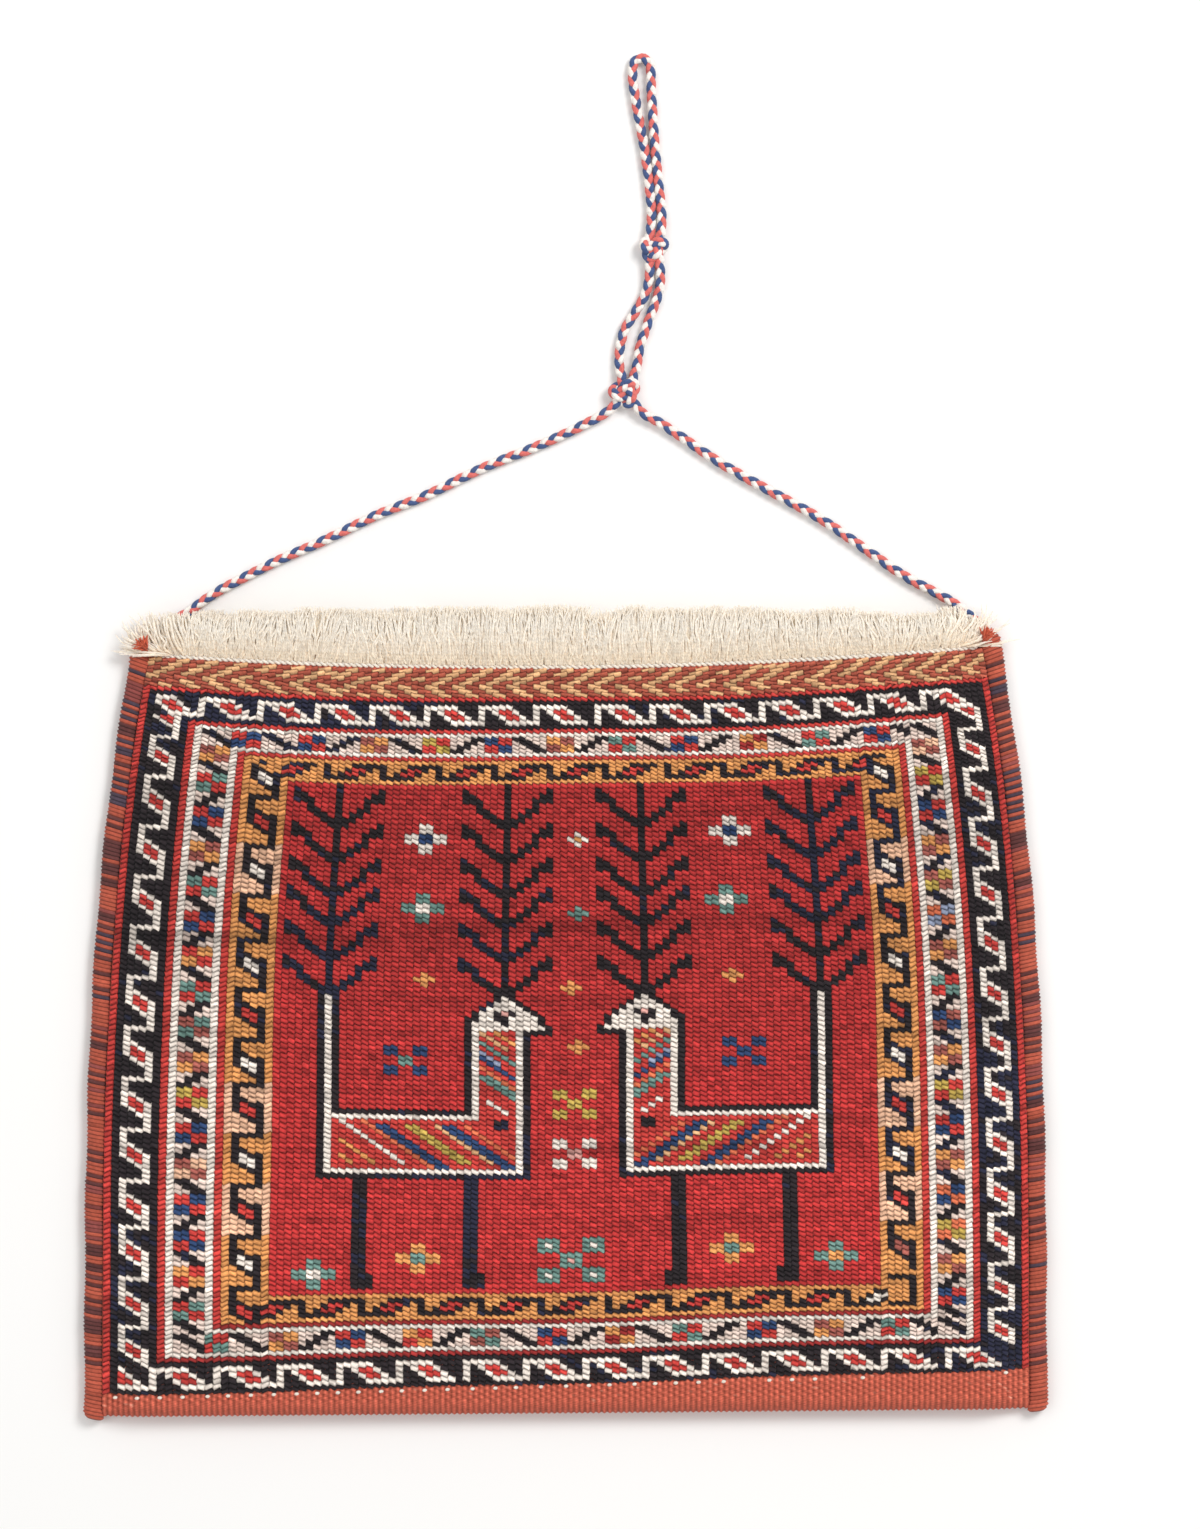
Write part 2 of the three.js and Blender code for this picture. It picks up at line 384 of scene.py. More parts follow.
# Each knot is a turn of the doubled cord tied round itself, so its lobes are the same plait, drawn tight.
KNOT_DEEP = 1.3
KNOT_RINGS = 84
for name, centre, wide, tall, turned in (
    ("lower_knot", lower_knot_centre, 4.6, 4.2, 0.3),
    ("upper_knot", upper_knot_centre, 3.5, 4.2, 1.9),
):
    t = np.arange(KNOT_RINGS) / KNOT_RINGS * 2 * math.pi
    lobes = np.stack(
        [
            wide / 3 * (np.sin(t) + 2 * np.sin(2 * t)),
            tall / 3 * (np.cos(t) - 2 * np.cos(2 * t)),
            -KNOT_DEEP * np.sin(3 * t),
        ],
        axis=1,
    )
    spin = np.array(
        [[math.cos(turned), -math.sin(turned), 0], [math.sin(turned), math.cos(turned), 0], [0, 0, 1]]
    )
    knot_yarns = empty_yarns()
    around = np.linalg.norm(np.diff(lobes, axis=0), axis=1).sum() + np.linalg.norm(lobes[0] - lobes[-1])
    knot_pitch = around / round(around / PLAIT_PITCH)
    plait(knot_yarns, lobes @ spin.T + centre, CORD_COLOURS, pitch=knot_pitch, closed=True)
    yarn_piece("tied_" + name, knot_yarns, cord_wool, [name])


# ------------------------------------------------------------------------------
# Ground cloth: one strip of weft-faced plain weave in rust wool, folded round the bottom of the bag and open
# at the mouth. Its warps show as ribs 2 mm apart on the strip below the patterned face and on the whole back.
# ------------------------------------------------------------------------------

HALF_WIDTH = 173.5
MOUTH_NARROWING = 17.0
MOUTH_HALF = HALF_WIDTH - MOUTH_NARROWING
BOTTOM_Y = -144.6
BOTTOM_TILT = 1.5
MOUTH_Y = 124.0
MOUTH_SAG = 6.4
MOUTH_TILT = 1.5
EDGE_THICK = 5.9
FULL_THICK = 10.9
EDGE_EASE = 16.0
BINDING_ROOM = 6.3
WALL = 2.2
SUMAK_DEPTH = 0.9
RIB_PITCH = 2.0
RIB_HEIGHT = 0.3
STRIP_HEIGHT = 10.85
STRIP_TILT = 3.5
STRIP_EASE = 1.2
STRIP_V = 0.081
FOLD_V = 0.022
WEFT_RISE = 0.18
RUST = "#cf6650"
RUST_DARK = "#9a4638"
RUST_FLECK = "#e08f78"
# Painted shade in the hollows between the ribs and a painted highlight on each rib.
RIB_PAINTED_SHADE = (0.52, 1.18)
INSIDE_TONE = 0.9
# Painted highlight on the strip's raised beads and painted shade where the weft dips under.
WEFT_PAINTED_SHADE = 0.2
FLECK_SHARE = 0.01
BACK_BANDS = ((0.42, 0.47), (0.53, 0.58))
rng = np.random.RandomState(11)


def half_width(v):
    """Half the bag's width at v, which is 0 at the fold and 1 at the mouth."""
    return HALF_WIDTH - MOUTH_NARROWING * np.clip(v, 0, 1.05) ** 3


def cloth_half(v):
    """Half the width between the side bindings."""
    return half_width(v) - BINDING_ROOM


def fold_y(x):
    """How far down the fold at the bottom reaches."""
    return BOTTOM_Y + BOTTOM_TILT * x / HALF_WIDTH


def mouth_y(x):
    """The mouth edge, which sags in the middle."""
    across = x / MOUTH_HALF
    return MOUTH_Y + MOUTH_SAG * across**2 + MOUTH_TILT * across


def thickness(inset):
    """The bag's thickness at a distance in from its bound side edge."""
    t = np.clip(inset / EDGE_EASE, 0, 1)
    return EDGE_THICK + (FULL_THICK - EDGE_THICK) * t * t * (3 - 2 * t)


def ripple(x, y):
    """The slack of an old cloth: waves a fraction of a millimetre high, which die out at the fold."""
    fade = np.clip((y - fold_y(x) - 6.0) / 14.0, 0, 1)
    return fade * (
        0.3 * np.sin(x / 17.0 + 0.9) * np.sin(y / 26.0 + 0.4) + 0.25 * np.sin(x / 41.0 - y / 33.0)
    )


def front_level(x, y, v):
    """Height of the flat part of the bag's front."""
    return thickness(cloth_half(v) - abs(x)) + ripple(x, y)


def strip_top(x):
    """Height of the plain strip over the fold."""
    return STRIP_HEIGHT + STRIP_TILT * x / HALF_WIDTH


def cloth_stations():
    """The strip's way as (side, v or turn, depth): from the front mouth, round the fold, and back inside."""
    front = np.concatenate([np.linspace(1, STRIP_V + 0.004, 34), np.linspace(STRIP_V, FOLD_V, 32)])
    turn = np.linspace(0, math.pi, 14)[1:-1]
    outer = [("front", v, 0.0) for v in front]
    outer += [("fold", t, 0.0) for t in turn]
    outer += [("back", v, 0.0) for v in np.linspace(FOLD_V, 1, 46)]
    inner = [("back", v, WALL) for v in np.linspace(1, FOLD_V, 24)]
    inner += [("fold", t, WALL) for t in turn[::-2]]
    inner += [("front", v, WALL) for v in np.linspace(FOLD_V, 1, 24)]
    return outer + inner


def cloth_line(side, at, depth, across):
    """One station's line of points across the cloth, depth inside its outer surface."""
    v = FOLD_V if side == "fold" else at
    x = across * cloth_half(v)
    ribbed = 0.0 if depth else RIB_HEIGHT
    rib = ribbed * np.where(np.arange(len(across)) % 2, 1.0, -1.0)
    radius = thickness(cloth_half(v) - abs(x)) / 2
    low = fold_y(x) + radius
    if side == "fold":
        reach = radius - depth + rib
        lift = ribbed * (1 - math.cos(at)) / 2
        return np.stack([x, low - reach * np.sin(at), radius + reach * np.cos(at) + lift], axis=1)
    y = low + (mouth_y(x) - low) * (at - FOLD_V) / (1 - FOLD_V)
    if side == "back":
        return np.stack([x, y, depth + rib + ribbed], axis=1)
    past_strip = y - fold_y(x) - strip_top(x) + STRIP_EASE / 2
    under = np.clip(past_strip / STRIP_EASE, 0, 1) * SUMAK_DEPTH
    level = front_level(x, y, at) - depth - under + rib * (1 - under / SUMAK_DEPTH)
    return np.stack([x, y, level], axis=1)


across = np.linspace(-1, 1, int(2 * cloth_half(0.0) / (RIB_PITCH / 2)) | 1)
stations = cloth_stations()
cloth_lines = np.array([cloth_line(side, at, depth, across) for side, at, depth in stations])
turns, width_points = cloth_lines.shape[:2]

# On the strip, each weft passes over one warp and under the next, so every other crossing has a bead.
on_strip = np.array([side == "front" and depth == 0 and at < STRIP_V for side, at, depth in stations])
crossing = np.arange(turns)[:, None] // 2 + np.arange(width_points)[None, :] // 2
weft_over = np.where(crossing % 2, 1.0, -1.0) * on_strip[:, None]
cloth_lines[:, :, 2] += WEFT_RISE * weft_over

path_mm = np.linalg.norm(np.diff(cloth_lines[:, width_points // 2], axis=0), axis=1)
path_mm = np.concatenate([[0], np.cumsum(path_mm), [path_mm.sum() + WALL]])
outside = np.array([depth == 0 for side, at, depth in stations])

# The weft covers the warps, with painted shade in the hollows between ribs and a painted highlight on each
# rib. Two brown bands of weft cross the back.
row_shade = 1 + 0.05 * np.convolve(rng.randn(turns + 8), np.ones(5) / 2.2, "same")[:turns]
rib_painted_shade = np.where(np.arange(width_points) % 2, RIB_PAINTED_SHADE[1], RIB_PAINTED_SHADE[0])
weft_and_painted_shade = np.tile(np.array(linear(RUST)), (turns, width_points, 1))
banded = [
    side == "back" and not depth and any(low < at < high for low, high in BACK_BANDS)
    for side, at, depth in stations
]
weft_and_painted_shade[banded] = linear(RUST_DARK)
shade = row_shade[:, None] * np.where(outside[:, None], rib_painted_shade[None, :], INSIDE_TONE)
shade = shade * (1 + 0.06 * rng.randn(turns, width_points))
# Painted highlight on each bead of the strip and painted shade between them.
shade *= 1 + WEFT_PAINTED_SHADE * weft_over
weft_and_painted_shade[(rng.rand(turns, width_points) < FLECK_SHARE) & on_strip[:, None]] = linear(RUST_FLECK)
weft_and_painted_shade[:, :, :3] *= shade[:, :, None]

i, k = [g.ravel() for g in np.meshgrid(np.arange(turns), np.arange(width_points - 1), indexing="ij")]
corner_i = np.stack([i, i, i + 1, i + 1], axis=1)
corner_k = np.stack([k, k + 1, k + 1, k], axis=1)
cloth_faces = ((corner_i % turns) * width_points + corner_k).tolist()
cloth_places = np.stack([path_mm[corner_i], corner_k / 2], axis=2).reshape(-1, 2)
cloth_layout = np.stack([0.98 * corner_k / width_points, corner_i / turns], axis=2).reshape(-1, 2)
cloth_dyes_and_painted_shade = weft_and_painted_shade[corner_i % turns, corner_k].reshape(-1, 4)
for edge, order in ((0, 1), (width_points - 1, -1)):
    rim = np.arange(turns)[::order]
    rim_u = 0.985 + 0.01 * (edge > 0) + 0.0 * rim
    cloth_faces.append((rim * width_points + edge).tolist())
    cloth_places = np.vstack([cloth_places, np.stack([path_mm[rim], 0.0 * rim], axis=1)])
    cloth_layout = np.vstack([cloth_layout, np.stack([rim_u, rim / turns], axis=1)])
    cloth_dyes_and_painted_shade = np.vstack([cloth_dyes_and_painted_shade, weft_and_painted_shade[rim, edge]])

# Plain weave: weft beaten down over the warps, so fine ridges 0.8 mm apart cross the ribs, with pale flecks.
plain_wool = wool_yarn("plain_weave_rust_wool", 0.9, 0.08, 0.8, 0.2, 0.15)
ground_cloth = make_piece(
    "ground_cloth",
    cloth_lines.reshape(-1, 3),
    cloth_faces,
    cloth_places,
    cloth_dyes_and_painted_shade,
    plain_wool,
    ["woven_cloth"],
    cloth_layout,
)


# ------------------------------------------------------------------------------
# Sumak face: each stitch is a loop of coloured wool wrapped round two warps, which lies as a slanted bead
# about 2.7 mm long and 1.7 mm high. The rows carry a red field in three framed borders, below a brown and
# gold band.
# ------------------------------------------------------------------------------

FRAME_STITCHES = 21
FIELD_COLUMNS = 82
FIELD_ROWS = 103
TOP_ROWS = 28
BOTTOM_ROWS = 20
BAND_ROWS = 7
COLUMNS = FIELD_COLUMNS + 2 * FRAME_STITCHES
ROWS = TOP_ROWS + FIELD_ROWS + BOTTOM_ROWS
LEFT_FRAME_SHARE = 0.1815
RIGHT_FRAME_SHARE = 0.1615
FACE_HEIGHT = MOUTH_Y - BOTTOM_Y
FACE_START = 0.6
BAND_ROW = 1.48
FRAME_ROW = 1.4
LOW_FRAME_ROW = 1.55
MEANDER_ROW = 1.83
LOW_MEANDER_ROW = 1.94
FIELD_ROW = 1.765
BAND_MIDDLE = 4
OUTER_ROWS_APART = 9.95
OUTER_COLUMNS_APART = 8.07
OUTER_LOW_COLUMNS_APART = 8.12
CHECKERS_APART = 9.07
SIDE_CHECKERS_APART = 7
INNER_COLUMNS_APART = 8.16
INNER_LOW_COLUMNS_APART = 8.1
INNER_ROWS_APART = (9.75, 9.65)

DYES = {
    "N": "#2a2326",
    "n": "#28293c",
    "W": "#f3e6da",
    "R": "#c8403a",
    "C": "#c33736",
    "M": "#9c302e",
    "G": "#e39b5c",
    "P": "#efbd9c",
    "B": "#31476f",
    "T": "#6f9087",
    "O": "#c2a552",
    "K": "#d9714e",
    "S": "#a35a50",
    "L": "#8f98b0",
    "H": "#ab5542",
    "Y": "#dfad7e",
    "Q": "#e0a49a",
    "V": "#e6cfc2",
}
chart = [["C"] * COLUMNS for _ in range(ROWS)]


def weave(row, column, lines):
    """Works a small motif into the chart, a line of dye letters to each row. A dot leaves what is there."""
    for down, line in enumerate(lines):
        for along, dye in enumerate(line):
            if dye != "." and 0 <= row + down < ROWS and 0 <= column + along < COLUMNS:
                chart[row + down][column + along] = dye


def frame_line(ring, dye):
    """One stitch of a single dye all round, ring stitches in from the edge."""
    top, bottom = BAND_ROWS + ring, ROWS - ring
    for row in range(top, min(bottom + 1, ROWS)):
        chart[row][ring] = dye
        chart[row][COLUMNS - 1 - ring] = dye
    for column in range(ring, COLUMNS - ring):
        chart[top][column] = dye
        if bottom < ROWS:
            chart[bottom][column] = dye


# The frame's ground, from the edge in: red, navy, red, white, pale, white, red and gold. Below the
# field, the two inner red lines are a darker wool.
for ring, dye in enumerate("RNNNNNNRWVVVVWRGGGGGG"):
    frame_line(ring, dye)
for ring in (7, 14):
    chart[ROWS - ring][ring : COLUMNS - ring] = "M" * (COLUMNS - 2 * ring)

# The band at the mouth: stitches two columns long, gold and brown by turns, set in chevrons that point left.
for row in range(BAND_ROWS):
    for column in range(COLUMNS):
        gold = (column - abs(row - BAND_MIDDLE)) // 2 % 2 == 0
        chart[row][column] = "Y" if gold else "H"
    for column in rng.randint(0, COLUMNS // 2, 8) * 2 + row % 2:
        chart[row][column : column + 2] = rng.choice(("HH", "YY", "HH"))[: COLUMNS - column]

# Outer border: a white hooked meander with a red heart on navy.
MEANDER_TOP = ("WWWWWNNN", "WNWRRWNN", "WNNWRRWN", "WNNNWWWW")
MEANDER_SIDE = ("WWWW", "WNNN", "WNNN", "WWNN", "WRWN", "WRRW", "NWRW", "NNWW", "NNNW", "NNNW")
for side_column in (2, COLUMNS - 6):
    weave(BAND_ROWS + 6, side_column, MEANDER_SIDE[5:])
    for repeat in range(1, 14):
        row = BAND_ROWS + 1 + round(repeat * OUTER_ROWS_APART)
        weave(row, side_column, MEANDER_SIDE[: ROWS - 5 - row])
for row, starts in (
    (BAND_ROWS + 2, [round(OUTER_COLUMNS_APART * repeat) for repeat in range(15)]),
    (ROWS - 5, [-2] + [6 + round(OUTER_LOW_COLUMNS_APART * repeat) for repeat in range(14)]),
):
    for column in starts:
        cut = max(0, 2 - column)
        weave(row, column + cut, [line[cut : COLUMNS - 2 - column] for line in MEANDER_TOP])

# Middle border: two-coloured checkers between navy slants that lean left and right by turns, on white.
SLANT = ("NNVVV", "VNNVV", "VVNNV", "VVVNN")
PAIRS_TOP = "RB RB SG OR BR GS TR RB GM RT BR".split()
PAIRS_BOTTOM = "TR SG RB GR TS BR GM TR RB SG TR".split()
PAIRS_LEFT = "SG RT RB GS TR RB RG TR ST SG OR RB SP RB BR GR RT".split()
PAIRS_RIGHT = "SP OR BR GS SO KL SG TR BS SG OR RB GS KB OK SG BR".split()
CORNER_SLANT = ("NNVV", "VNNV", "VVNN", "VVVN")
for pairs, row, first in ((PAIRS_TOP, BAND_ROWS + 9, 13), (PAIRS_BOTTOM, ROWS - 12, 12)):
    for repeat, (a, b) in enumerate(pairs):
        column = first + round(repeat * CHECKERS_APART)
        weave(row, column, (a + a + b + b,) * 2 + (b + b + a + a,) * 2)
        slant = SLANT if repeat % 2 == 0 else SLANT[::-1]
        if column + 9 < COLUMNS - 10:
            weave(row, column + 4, slant)
for side_column, pairs in ((9, PAIRS_LEFT), (COLUMNS - 13, PAIRS_RIGHT)):
    weave(BAND_ROWS + 9, side_column, CORNER_SLANT)
    for repeat, (a, b) in enumerate(pairs):
        row = BAND_ROWS + 13 + repeat * SIDE_CHECKERS_APART
        weave(row, side_column, (a + a + b + b,) * 2 + (b + b + a + a,) * 2)
        weave(row + 4, side_column, CORNER_SLANT[:3] if repeat % 2 == 0 else CORNER_SLANT[2::-1])
    weave(ROWS - 12, side_column, CORNER_SLANT)

# Inner border: dark steps on gold, with a heart of red or white stitches in each.
STEP_TOP = ("DGGGDDDD", "DGGDccDG", "DGDccDGG", "DDDDDGGG")
STEP_SIDE = ("DDDD", "DGGG", "DGGG", "DDGG", "DcDD", "DccD", "GDcD", "GGDD", "GGGD", "GGGD")


def hearted(lines, heart, gold="G"):
    """A step of the inner border with its dark stitches, its heart and its ground in their dyes."""
    return [line.replace("D", "N").replace("c", heart).replace("G", gold) for line in lines]


for repeat in range(11):
    weave(BAND_ROWS + 16, round(17.4 + INNER_COLUMNS_APART * repeat), hearted(STEP_TOP, "R"))
    heart = "W" if repeat == 10 else "R"
    weave(ROWS - 19, 17 + round(INNER_LOW_COLUMNS_APART * repeat), hearted(STEP_TOP, heart))
for side_column, last_heart, pitch in zip((16, COLUMNS - 20), "WS", INNER_ROWS_APART):
    weave(TOP_ROWS - 4, side_column, hearted(STEP_SIDE, "W")[-8:])
    for repeat in range(1, 11):
        row = TOP_ROWS + 3 + round((repeat - 1) * pitch)
        wool = "P" if repeat in (2, 7, 9) else "G"
        heart = last_heart if repeat == 10 else "WR"[repeat % 2]
        weave(row, side_column, hearted(STEP_SIDE, heart, wool))
        for column in (side_column - 1, side_column + 4):
            weave(row, column, (wool,) * 10)
weave(ROWS - 22, 16, hearted(STEP_SIDE[:8], "R"))
weave(ROWS - 22, COLUMNS - 20, hearted(("DDDD",) + ("GGGD",) * 5 + ("DDDD",), "R"))


def bird_stitch(column, row, dye, mirrored):
    """One stitch of the field, counted from its left edge or, where mirrored, from its right edge."""
    if mirrored:
        column = FIELD_COLUMNS - 1 - column
    chart[TOP_ROWS + row][FRAME_STITCHES + column] = dye


def bird_run(columns, rows, dye, mirrored):
    """A block of stitches from the first to the last of its columns and rows."""
    for row in range(rows[0], rows[1] + 1):
        for column in range(columns[0], columns[1] + 1):
            bird_stitch(column, row, dye, mirrored)


def bird_stripe(column, row, last, dye, mirrored, wide=1, left=8, right=32):
    """A stripe that steps one stitch sideways in each row down to the last."""
    for down in range(last - row + 1):
        for extra in range(wide):
            if left <= column + down + extra <= right:
                bird_stitch(column + down + extra, row + down, dye, mirrored)


for mirrored in (False, True):
    # The trees: a straight trunk with six pairs of rising boughs.
    for trunk in (7, 31):
        bird_run((trunk, trunk), (0, 43), "N", mirrored)
        for joint in (8, 15, 22, 28, 35, 42):
            for reach in range(1, 7):
                top = joint - reach - (1 if reach > 3 else 0)
                thick = 3 if reach in (4, 6) else 2
                for column in (trunk - reach, trunk + reach):
                    bird_run((column, column), (top, top + thick - 1), "N", mirrored)
    # The outline: navy outside, then white, round a red neck and body.
    for columns, rows, dye in (
        ((6, 6), (43, 79), "N"), ((8, 8), (43, 66), "N"), ((7, 7), (43, 78), "W"),
        ((8, 26), (66, 66), "N"), ((7, 27), (67, 67), "W"), ((26, 26), (47, 66), "N"),
        ((34, 34), (50, 79), "N"), ((8, 32), (68, 77), "R"), ((28, 32), (50, 67), "R"),
        ((27, 27), (49, 67), "W"), ((33, 33), (49, 78), "W"), ((7, 33), (78, 78), "W"),
        ((6, 34), (79, 79), "N"),
    ):
        bird_run(columns, rows, dye, mirrored)
    # The head: a white triangle with a dark eye and a short beak.
    head = ((31, 31), (30, 32), (29, 33), (28, 34), (28, 35), (27, 35), (27, 36))
    for down, (left, right) in enumerate(head):
        bird_stitch(left - 1, 43 + down, "N", mirrored)
        bird_stitch(right + 1, 43 + down, "N", mirrored)
        bird_run((left, right), (43 + down, 43 + down), "W", mirrored)
    bird_run((34, 37), (50, 50), "N", mirrored)
    for column, row in ((30, 46), (32, 46), (30, 47), (31, 47), (31, 48)):
        bird_stitch(column, row, "N", mirrored)
    bird_stitch(31, 46, "Q", mirrored)
    # Slanting stripes fill the neck and the body.
    for column, row, last, dye, wide in (
        (28, 50, 53, "Y", 1), (28, 52, 56, "T", 1), (28, 54, 56, "L", 1), (28, 55, 59, "B", 1),
        (28, 57, 61, "K", 1), (28, 59, 63, "T", 2), (28, 62, 66, "R", 1), (30, 50, 52, "G", 1),
        (29, 64, 66, "W", 1),
    ):
        bird_stripe(column, row, last, dye, mirrored, wide, 28, 32)
    bird_run((30, 31), (68, 69), "N", mirrored)
    for column, row, last, dye, wide in (
        (9, 68, 76, "W", 1), (9, 72, 76, "G", 1), (9, 75, 76, "G", 1), (12, 68, 77, "K", 1),
        (14, 69, 77, "B", 2), (18, 69, 76, "O", 2), (22, 69, 76, "Y", 1), (23, 69, 77, "B", 2),
        (26, 69, 75, "K", 1),
    ):
        bird_stripe(column, row, last, dye, mirrored, wide)
    # The legs, two stitches wide, with feet.
    for leg in (11, 26):
        bird_run((leg, leg + 1), (80, 101), "N", mirrored)
        bird_run((leg, leg + 2), (99, 101), "N", mirrored)

# Small filling motifs of two-stitch blocks: crosses, and checkers set cornerwise.
CROSS = ("..aa..", "..aa..", "aabbaa", "aabbaa", "..aa..", "..aa..")
CHECKER = ("aa..aa", "aa..aa", "..bb..", "..bb..", "aa..aa", "aa..aa")
PLUS = (".a.", "aba", ".a.")


def filling(row, column, lines, a, b):
    """Works a small motif into the field."""
    lines = [line.replace("a", a).replace("b", b) for line in lines]
    weave(TOP_ROWS + row, FRAME_STITCHES + column, lines)


for row, column, lines, a, b in (
    (8, 17, CROSS, "W", "B"), (7, 60, CROSS, "W", "B"), (22, 17, CROSS, "T", "W"),
    (21, 59, CROSS, "T", "W"), (10, 40, PLUS, "W", "G"), (25, 40, PLUS, "T", "T"),
    (38, 19, PLUS, "G", "G"), (40, 39, PLUS, "G", "G"), (38, 61, PLUS, "G", "G"),
    (52, 40, PLUS, "G", "G"), (53, 15, CHECKER, "B", "T"), (52, 61, CHECKER, "B", "B"),
    (62, 38, CHECKER, "O", "O"), (72, 38, CHECKER, "W", "Q"), (96, 3, CROSS, "T", "W"),
    (93, 17, CROSS, "G", "T"), (92, 59, CROSS, "G", "T"), (94, 73, CROSS, "T", "G"),
):
    filling(row, column, lines, a, b)
for row, column in ((92, 36), (92, 42), (95, 39), (98, 36), (98, 42)):
    filling(row, column, ("aaa", "aba", "aaa"), "T", "W" if row != 95 else "Q")

# Row and column edges, in millimetres down from the mouth and as shares of the width.
row_heights = [BAND_ROW] * BAND_ROWS + [FRAME_ROW] * 2 + [MEANDER_ROW] * 4 + [FRAME_ROW] * 15
row_heights += [FIELD_ROW] * FIELD_ROWS
row_heights += [LOW_FRAME_ROW] * 15 + [LOW_MEANDER_ROW] * 4 + [LOW_FRAME_ROW]
row_edges = FACE_START + np.concatenate([[0], np.cumsum(row_heights)])
column_shares = np.concatenate(
    [
        np.full(FRAME_STITCHES, LEFT_FRAME_SHARE / FRAME_STITCHES),
        np.full(FIELD_COLUMNS, (1 - LEFT_FRAME_SHARE - RIGHT_FRAME_SHARE) / FIELD_COLUMNS),
        np.full(FRAME_STITCHES, RIGHT_FRAME_SHARE / FRAME_STITCHES),
    ]
)
column_edges = np.concatenate([[0], np.cumsum(column_shares)])
column_edges /= column_edges[-1]

# Each stitch is three faces long and three high: low where it meets the next ones, full between, and slanted.
# Stitches worked one above another in a single line lean up to the right, and the rest lean a little down.
BEAD_ALONG = (0.0, 0.15, 0.86)
BEAD_DOWN = (0.0, 0.3, 0.7)
RISE_ALONG = np.array((0.35, 1.0, 0.92))
RISE_DOWN = np.array((0.0, 1.0, 0.95))
# The stitch colours carry painted shade, darkest where a stitch meets the next ones, and a painted highlight
# on each bead's crest.
PAINTED_SHADE_ALONG = np.array((0.62, 1.06, 1.0))
PAINTED_SHADE_DOWN = np.array((0.3, 1.12, 1.04))
LEAN = np.array((0.0, -1.0, 1.0))
LINE_SLANT = 0.42
FIELD_SLANT = -0.4
BAND_SLANT = 0.55
BAND_GAP_PAINTED_SHADE = 0.55
STITCH_BED = 0.75
EDGE_TUCK = 0.5
FACE_FOOT = 1.05
WAVER = 0.35
LINE_COLUMNS = (0, 7, 8, 13, 14, 15, 20)
columns_fine = np.array([c + part for c in range(COLUMNS) for part in BEAD_ALONG] + [COLUMNS])
rows_fine = np.array([r + part for r in range(ROWS) for part in BEAD_DOWN] + [ROWS])
along_part = np.arange(len(columns_fine)) % 3
down_part = np.arange(len(rows_fine)) % 3
share = np.interp(columns_fine, np.arange(COLUMNS + 1), column_edges)[None, :]
down_mm = np.interp(rows_fine, np.arange(ROWS + 1), row_edges)[:, None]
v = 1 - down_mm / FACE_HEIGHT + 0 * share
x = (2 * share - 1) * cloth_half(v)
y = mouth_y(x) - (mouth_y(x) - fold_y(x)) * down_mm / FACE_HEIGHT
y = y + (STRIP_TILT * x / HALF_WIDTH - FACE_FOOT) * (rows_fine[:, None] / ROWS) ** 5
in_line = [int(c) in LINE_COLUMNS or COLUMNS - 1 - int(c) in LINE_COLUMNS for c in columns_fine]
slant = np.where(in_line, LINE_SLANT, FIELD_SLANT)[None, :] * (1 + 0.35 * rng.randn(*y.shape))
sideways = slant * LEAN[along_part][None, :]
rise_along = RISE_ALONG[along_part][None, :] + 0 * y
painted_shade_along = PAINTED_SHADE_ALONG[along_part][None, :] + 0 * y
# In the band, painted shade where one long stitch meets the next and a painted highlight along each.
for row in range(3 * BAND_ROWS):
    long_part = (columns_fine - abs(row // 3 - BAND_MIDDLE)) % 2
    band_lean = BAND_SLANT if row // 3 >= BAND_MIDDLE else -BAND_SLANT
    sideways[row] = band_lean * (1.0 - long_part) * (long_part > 0)
    rise_along[row] = np.where(long_part == 0, RISE_ALONG[0], 1.0)
    painted_shade_along[row] = np.where(long_part == 0, BAND_GAP_PAINTED_SHADE, PAINTED_SHADE_ALONG[1])
x = x + WAVER * np.sin(y / 19.0 + 0.7) * np.sin(x / 47.0) + 0.09 * rng.randn(*x.shape)
y = y + sideways + WAVER * np.sin(x / 23.0 + y / 61.0) + 0.06 * rng.randn(*y.shape)
rise = RISE_DOWN[down_part][:, None] * rise_along * (1 + 0.1 * rng.randn(*x.shape))
z = front_level(x, y, v) - STITCH_BED + SUMAK_DEPTH * rise
for edge_z in (z[0], z[-1], z[:, 0], z[:, -1]):
    edge_z -= EDGE_TUCK
face_points = np.stack([x, y, z], axis=2).reshape(-1, 3)
# Each corner's painted shade and highlight, with a little random tone.
bead_painted_shade = PAINTED_SHADE_DOWN[down_part][:, None] * painted_shade_along
bead_painted_shade = (bead_painted_shade * (1 + 0.05 * rng.randn(*bead_painted_shade.shape))).ravel()

# Hand-dyed wool comes in uneven lots, so the red shifts in bands of rows that end part of the way across, and
# the upper half of the field is darker from use.
LOT_BANDS = 46
WORN_ROWS = np.array((0, 1, 30, 62, 82, 103)) + TOP_ROWS
WORN_TONES = (1.0, 0.82, 0.84, 1.0, 1.1, 1.12)
lot = np.ones((ROWS, COLUMNS))
for _ in range(LOT_BANDS):
    row = rng.randint(TOP_ROWS, TOP_ROWS + FIELD_ROWS)
    start = rng.randint(-30, COLUMNS - 10)
    length = rng.randint(14, 70)
    start = max(start, 0)
    end_row = row + rng.randint(1, 4)
    lot[row:end_row, start : start + length] *= rng.choice((0.8, 0.86, 0.9, 1.08))
lot *= 1 + 0.04 * rng.randn(ROWS)[:, None] + 0.13 * rng.randn(ROWS, COLUMNS)
worn = np.interp(np.arange(ROWS), WORN_ROWS, WORN_TONES)
